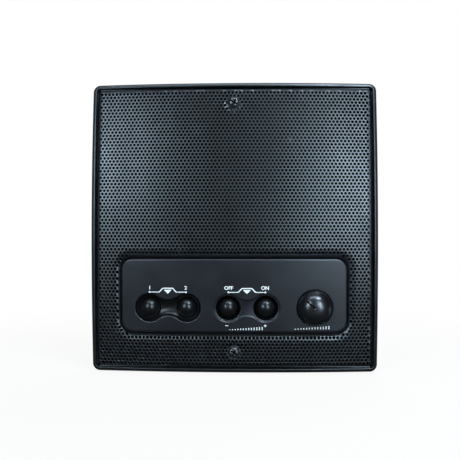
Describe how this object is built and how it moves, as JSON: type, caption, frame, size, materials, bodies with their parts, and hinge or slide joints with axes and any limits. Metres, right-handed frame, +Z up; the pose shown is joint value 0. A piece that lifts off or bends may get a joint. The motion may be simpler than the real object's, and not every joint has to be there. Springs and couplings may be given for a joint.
{
  "type": "intercom room station",
  "caption": "Square black wall intercom with a domed perforated grille over a loudspeaker, a charcoal control panel with ball push buttons in wells, and a domed volume knob.",
  "frame": {"origin": "middle of the wall plane, midway between the two wall screws", "axes": "+Z up, the front faces -Y, +Y goes into the wall, +X to the right seen from the front"},
  "size_m": [0.197, 0.0729, 0.199],
  "materials": {
    "frame_plastic": "moulded, satin to glossy",
    "grille_paint": "semi-gloss black paint on perforated steel",
    "panel_plastic": "matte charcoal moulding",
    "button_plastic": "polished black",
    "screw_black": "black oxide",
    "zinc_steel": "zinc plated",
    "plain_steel": "turned steel",
    "switch_plastic": "moulded",
    "plunger_plastic": "moulded nylon",
    "board_laminate": "green solder mask",
    "terminal_plastic": "moulded",
    "capacitor_sleeve": "shrunk sleeve",
    "chip_epoxy": "moulded epoxy",
    "gasket_board": "pressed board",
    "tag_board": "resin-bonded paper",
    "ferrite": "sintered ferrite",
    "coil_former": "enamelled copper on a former",
    "cone_paper": "pressed pulp",
    "surround_cloth": "doped cloth",
    "spider_cloth": "resin-stiffened cloth"
  },
  "bodies": {
    "station": {"front_frame": "frame_plastic", "speaker_grille": "grille_paint", "wall_screws": "screw_black", "control_panel": "panel_plastic", "panel_screws": "zinc_steel", "switch_bodies": "switch_plastic", "potentiometer_body": "zinc_steel", "circuit_board": "board_laminate", "board_screws": "zinc_steel", "terminal_block": "terminal_plastic", "terminal_screws": "zinc_steel", "capacitors": "capacitor_sleeve", "control_chip": "chip_epoxy", "speaker_gasket": "gasket_board", "speaker_basket": "zinc_steel", "speaker_screws": "zinc_steel", "speaker_terminals": "tag_board", "top_plate": "zinc_steel", "magnet": "ferrite", "back_plate": "zinc_steel", "cone_surround": "surround_cloth", "cone_spider": "spider_cloth"},
    "listen_key": {"listen_button": "button_plastic", "listen_plunger": "plunger_plastic"},
    "talk_key": {"talk_button": "button_plastic", "talk_plunger": "plunger_plastic"},
    "volume_down_key": {"volume_down_button": "button_plastic", "volume_down_plunger": "plunger_plastic"},
    "volume_up_key": {"volume_up_button": "button_plastic", "volume_up_plunger": "plunger_plastic"},
    "volume_control": {"volume_knob": "button_plastic", "potentiometer_shaft": "plain_steel"},
    "cone_assembly": {"speaker_cone": "cone_paper", "dust_cap": "cone_paper", "voice_coil": "coil_former"}
  },
  "joints": [
    {"name": "listen_press", "type": "slide", "parent": "station", "child": "listen_key", "axis": [0, 1, 0], "range_m": [0, 0.0015], "stiffness_N_per_m": 600, "springref_m": -0.001},
    {"name": "talk_press", "type": "slide", "parent": "station", "child": "talk_key", "axis": [0, 1, 0], "range_m": [0, 0.0015], "stiffness_N_per_m": 600, "springref_m": -0.001},
    {"name": "volume_down_press", "type": "slide", "parent": "station", "child": "volume_down_key", "axis": [0, 1, 0], "range_m": [0, 0.0015], "stiffness_N_per_m": 600, "springref_m": -0.001},
    {"name": "volume_up_press", "type": "slide", "parent": "station", "child": "volume_up_key", "axis": [0, 1, 0], "range_m": [0, 0.0015], "stiffness_N_per_m": 600, "springref_m": -0.001},
    {"name": "volume_turn", "type": "hinge", "parent": "station", "child": "volume_control", "pos_m": [0.0548, -0.02, -0.0547], "axis": [0, 1, 0], "range_deg": [-99, 201]},
    {"name": "cone_travel", "type": "slide", "parent": "station", "child": "cone_assembly", "axis": [0, 1, 0], "range_m": [-0.002, 0.002], "stiffness_N_per_m": 1500, "deforming": ["cone_surround", "cone_spider"]}
  ]
}
